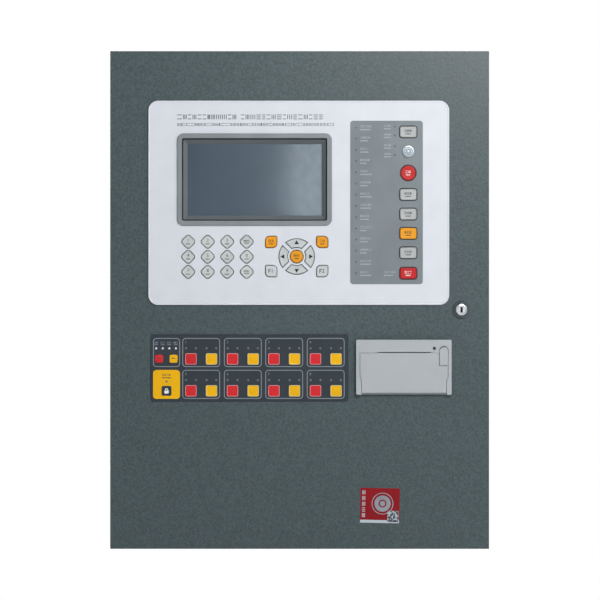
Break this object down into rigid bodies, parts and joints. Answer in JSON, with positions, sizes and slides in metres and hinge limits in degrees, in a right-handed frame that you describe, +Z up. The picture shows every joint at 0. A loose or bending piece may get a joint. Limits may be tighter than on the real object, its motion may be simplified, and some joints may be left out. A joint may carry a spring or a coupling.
{
  "type": "fire alarm control panel",
  "caption": "Wall-hung fire alarm control panel: steel cabinet with a hinged door carrying a display, keypads, zone keys, a lock and a small paper-roll printer.",
  "frame": {"origin": "centre of the cabinet's flat wall face", "axes": "+Y into the wall, +Z up, +X to the viewer's right; the door's front faces -Y"},
  "size_m": [0.44, 0.148, 0.578],
  "materials": {
    "cabinet_paint": "fine-textured dark grey powder coat on steel",
    "door_paint": "fine-textured dark grey powder coat on steel",
    "zinc_plate": "zinc-plated sheet steel, satin",
    "power_supply_steel": "perforated plated steel, satin",
    "display_metal": "stamped display frame, satin",
    "hinge_steel": "zinc-plated steel, satin",
    "lock_chrome": "polished chrome on zinc casting",
    "head_metal": "machined aluminium, satin",
    "fascia_white": "white moulded plastic with a satin printed film",
    "bezel_grey": "mid grey satin plastic",
    "screen_glass": "clear hard-coated window over a dark display",
    "overlay_film": "dark printed membrane film with raised red and amber keys",
    "printer_plastic": "light grey moulded plastic, satin",
    "key_grey": "light grey moulded keycap, satin",
    "key_amber": "amber moulded keycap, satin",
    "key_red": "red moulded keycap, satin",
    "circuit_board": "green solder mask, satin",
    "terminal_plastic": "green moulded terminal housings",
    "battery_case": "black moulded battery case",
    "black_rubber": "black rubber",
    "platen_rubber": "ground black rubber roller",
    "paper": "white thermal paper"
  },
  "bodies": {
    "cabinet": {"back_box": "cabinet_paint", "mounting_plate": "zinc_plate", "main_board": "circuit_board", "power_supply": "power_supply_steel", "terminal_block": "terminal_plastic", "battery_left": "battery_case", "battery_right": "battery_case", "cable_grommet": "black_rubber", "hinge_bracket_upper": "hinge_steel", "hinge_bracket_lower": "hinge_steel"},
    "door_leaf": {"door": "door_paint", "fascia_panel": "fascia_white", "screen_bezel": "bezel_grey", "screen_lens": "screen_glass", "lcd_module": "display_metal", "keypad_board": "circuit_board", "control_overlay": "overlay_film", "control_board": "circuit_board", "key_switch_body": "lock_chrome", "printer_housing": "printer_plastic", "print_head": "head_metal", "lock_body": "lock_chrome", "lock_nut": "hinge_steel", "hinge_knuckle_upper": "hinge_steel", "hinge_knuckle_lower": "hinge_steel"},
    "lock_core": {"lock_plug": "lock_chrome", "lock_cam": "hinge_steel"},
    "key_switch_core": {"key_switch_rotor": "lock_chrome"},
    "printer_flap": {"printer_cover": "printer_plastic"},
    "platen": {"platen_roller": "platen_rubber"},
    "roll": {"paper_roll": "paper"},
    "lever": {"printer_lever": "printer_plastic"},
    "key_digit_1_cap": {"key_digit_1": "key_grey"},
    "key_digit_2_cap": {"key_digit_2": "key_grey"},
    "key_digit_3_cap": {"key_digit_3": "key_grey"},
    "key_back_cap": {"key_back": "key_grey"},
    "key_digit_4_cap": {"key_digit_4": "key_grey"},
    "key_digit_5_cap": {"key_digit_5": "key_grey"},
    "key_digit_6_cap": {"key_digit_6": "key_grey"},
    "key_digit_0_cap": {"key_digit_0": "key_grey"},
    "key_digit_7_cap": {"key_digit_7": "key_grey"},
    "key_digit_8_cap": {"key_digit_8": "key_grey"},
    "key_digit_9_cap": {"key_digit_9": "key_grey"},
    "key_function_cap": {"key_function": "key_grey"},
    "nav_right_cap": {"nav_right": "key_grey"},
    "nav_up_cap": {"nav_up": "key_grey"},
    "nav_left_cap": {"nav_left": "key_grey"},
    "nav_down_cap": {"nav_down": "key_grey"},
    "f1_key_cap": {"f1_key": "key_grey"},
    "f2_key_cap": {"f2_key": "key_grey"},
    "function_key_1_cap": {"function_key_1": "key_grey"},
    "function_key_2_cap": {"function_key_2": "key_grey"},
    "function_key_3_cap": {"function_key_3": "key_grey"},
    "function_key_5_cap": {"function_key_5": "key_grey"},
    "nav_enter_cap": {"nav_enter": "key_amber"},
    "mode_key_left_cap": {"mode_key_left": "key_amber"},
    "mode_key_right_cap": {"mode_key_right": "key_amber"},
    "function_key_4_cap": {"function_key_4": "key_amber"},
    "function_key_6_cap": {"function_key_6": "key_red"},
    "round_button_cap": {"round_button": "key_red"}
  },
  "joints": [
    {"name": "door_hinge", "type": "hinge", "parent": "cabinet", "child": "door_leaf", "pos_m": [-0.213, -0.133, 0], "axis": [0, 0, -1], "range_deg": [0, 110]},
    {"name": "lock_turn", "type": "hinge", "parent": "door_leaf", "child": "lock_core", "pos_m": [0.1876, -0.14, -0.0113], "axis": [0, 1, 0], "range_deg": [0, 90]},
    {"name": "key_switch_turn", "type": "hinge", "parent": "door_leaf", "child": "key_switch_core", "pos_m": [0.126, -0.14, 0.1723], "axis": [0, 1, 0], "range_deg": [0, 90]},
    {"name": "printer_cover_hinge", "type": "hinge", "parent": "door_leaf", "child": "printer_flap", "pos_m": [0.1207, -0.1458, -0.1068], "axis": [1, 0, 0], "range_deg": [0, 80]},
    {"name": "platen_spin", "type": "hinge", "parent": "printer_flap", "child": "platen", "pos_m": [0.1207, -0.135, -0.0679], "axis": [1, 0, 0], "continuous": true},
    {"name": "paper_roll_spin", "type": "hinge", "parent": "door_leaf", "child": "roll", "pos_m": [0.1207, -0.11, -0.0859], "axis": [1, 0, 0], "continuous": true},
    {"name": "printer_lever_pull", "type": "hinge", "parent": "door_leaf", "child": "lever", "pos_m": [0.167, -0.1455, -0.0579], "axis": [-1, 0, 0], "range_deg": [0, 16], "stiffness_Nm_per_rad": 0.02},
    {"name": "key_digit_1_press", "type": "slide", "parent": "door_leaf", "child": "key_digit_1_cap", "axis": [0, 1, 0], "range_m": [0, 0.0015], "stiffness_N_per_m": 300},
    {"name": "key_digit_2_press", "type": "slide", "parent": "door_leaf", "child": "key_digit_2_cap", "axis": [0, 1, 0], "range_m": [0, 0.0015], "stiffness_N_per_m": 300},
    {"name": "key_digit_3_press", "type": "slide", "parent": "door_leaf", "child": "key_digit_3_cap", "axis": [0, 1, 0], "range_m": [0, 0.0015], "stiffness_N_per_m": 300},
    {"name": "key_back_press", "type": "slide", "parent": "door_leaf", "child": "key_back_cap", "axis": [0, 1, 0], "range_m": [0, 0.0015], "stiffness_N_per_m": 300},
    {"name": "key_digit_4_press", "type": "slide", "parent": "door_leaf", "child": "key_digit_4_cap", "axis": [0, 1, 0], "range_m": [0, 0.0015], "stiffness_N_per_m": 300},
    {"name": "key_digit_5_press", "type": "slide", "parent": "door_leaf", "child": "key_digit_5_cap", "axis": [0, 1, 0], "range_m": [0, 0.0015], "stiffness_N_per_m": 300},
    {"name": "key_digit_6_press", "type": "slide", "parent": "door_leaf", "child": "key_digit_6_cap", "axis": [0, 1, 0], "range_m": [0, 0.0015], "stiffness_N_per_m": 300},
    {"name": "key_digit_0_press", "type": "slide", "parent": "door_leaf", "child": "key_digit_0_cap", "axis": [0, 1, 0], "range_m": [0, 0.0015], "stiffness_N_per_m": 300},
    {"name": "key_digit_7_press", "type": "slide", "parent": "door_leaf", "child": "key_digit_7_cap", "axis": [0, 1, 0], "range_m": [0, 0.0015], "stiffness_N_per_m": 300},
    {"name": "key_digit_8_press", "type": "slide", "parent": "door_leaf", "child": "key_digit_8_cap", "axis": [0, 1, 0], "range_m": [0, 0.0015], "stiffness_N_per_m": 300},
    {"name": "key_digit_9_press", "type": "slide", "parent": "door_leaf", "child": "key_digit_9_cap", "axis": [0, 1, 0], "range_m": [0, 0.0015], "stiffness_N_per_m": 300},
    {"name": "key_function_press", "type": "slide", "parent": "door_leaf", "child": "key_function_cap", "axis": [0, 1, 0], "range_m": [0, 0.0015], "stiffness_N_per_m": 300},
    {"name": "nav_right_press", "type": "slide", "parent": "door_leaf", "child": "nav_right_cap", "axis": [0, 1, 0], "range_m": [0, 0.0015], "stiffness_N_per_m": 300},
    {"name": "nav_up_press", "type": "slide", "parent": "door_leaf", "child": "nav_up_cap", "axis": [0, 1, 0], "range_m": [0, 0.0015], "stiffness_N_per_m": 300},
    {"name": "nav_left_press", "type": "slide", "parent": "door_leaf", "child": "nav_left_cap", "axis": [0, 1, 0], "range_m": [0, 0.0015], "stiffness_N_per_m": 300},
    {"name": "nav_down_press", "type": "slide", "parent": "door_leaf", "child": "nav_down_cap", "axis": [0, 1, 0], "range_m": [0, 0.0015], "stiffness_N_per_m": 300},
    {"name": "f1_key_press", "type": "slide", "parent": "door_leaf", "child": "f1_key_cap", "axis": [0, 1, 0], "range_m": [0, 0.0015], "stiffness_N_per_m": 300},
    {"name": "f2_key_press", "type": "slide", "parent": "door_leaf", "child": "f2_key_cap", "axis": [0, 1, 0], "range_m": [0, 0.0015], "stiffness_N_per_m": 300},
    {"name": "function_key_1_press", "type": "slide", "parent": "door_leaf", "child": "function_key_1_cap", "axis": [0, 1, 0], "range_m": [0, 0.0015], "stiffness_N_per_m": 300},
    {"name": "function_key_2_press", "type": "slide", "parent": "door_leaf", "child": "function_key_2_cap", "axis": [0, 1, 0], "range_m": [0, 0.0015], "stiffness_N_per_m": 300},
    {"name": "function_key_3_press", "type": "slide", "parent": "door_leaf", "child": "function_key_3_cap", "axis": [0, 1, 0], "range_m": [0, 0.0015], "stiffness_N_per_m": 300},
    {"name": "function_key_5_press", "type": "slide", "parent": "door_leaf", "child": "function_key_5_cap", "axis": [0, 1, 0], "range_m": [0, 0.0015], "stiffness_N_per_m": 300},
    {"name": "nav_enter_press", "type": "slide", "parent": "door_leaf", "child": "nav_enter_cap", "axis": [0, 1, 0], "range_m": [0, 0.0015], "stiffness_N_per_m": 300},
    {"name": "mode_key_left_press", "type": "slide", "parent": "door_leaf", "child": "mode_key_left_cap", "axis": [0, 1, 0], "range_m": [0, 0.0015], "stiffness_N_per_m": 300},
    {"name": "mode_key_right_press", "type": "slide", "parent": "door_leaf", "child": "mode_key_right_cap", "axis": [0, 1, 0], "range_m": [0, 0.0015], "stiffness_N_per_m": 300},
    {"name": "function_key_4_press", "type": "slide", "parent": "door_leaf", "child": "function_key_4_cap", "axis": [0, 1, 0], "range_m": [0, 0.0015], "stiffness_N_per_m": 300},
    {"name": "function_key_6_press", "type": "slide", "parent": "door_leaf", "child": "function_key_6_cap", "axis": [0, 1, 0], "range_m": [0, 0.0015], "stiffness_N_per_m": 300},
    {"name": "round_button_press", "type": "slide", "parent": "door_leaf", "child": "round_button_cap", "axis": [0, 1, 0], "range_m": [0, 0.0015], "stiffness_N_per_m": 300}
  ],
  "couplings": [
    {"joint": "platen_spin", "follows": "paper_roll_spin", "ratio": 3.5}
  ]
}
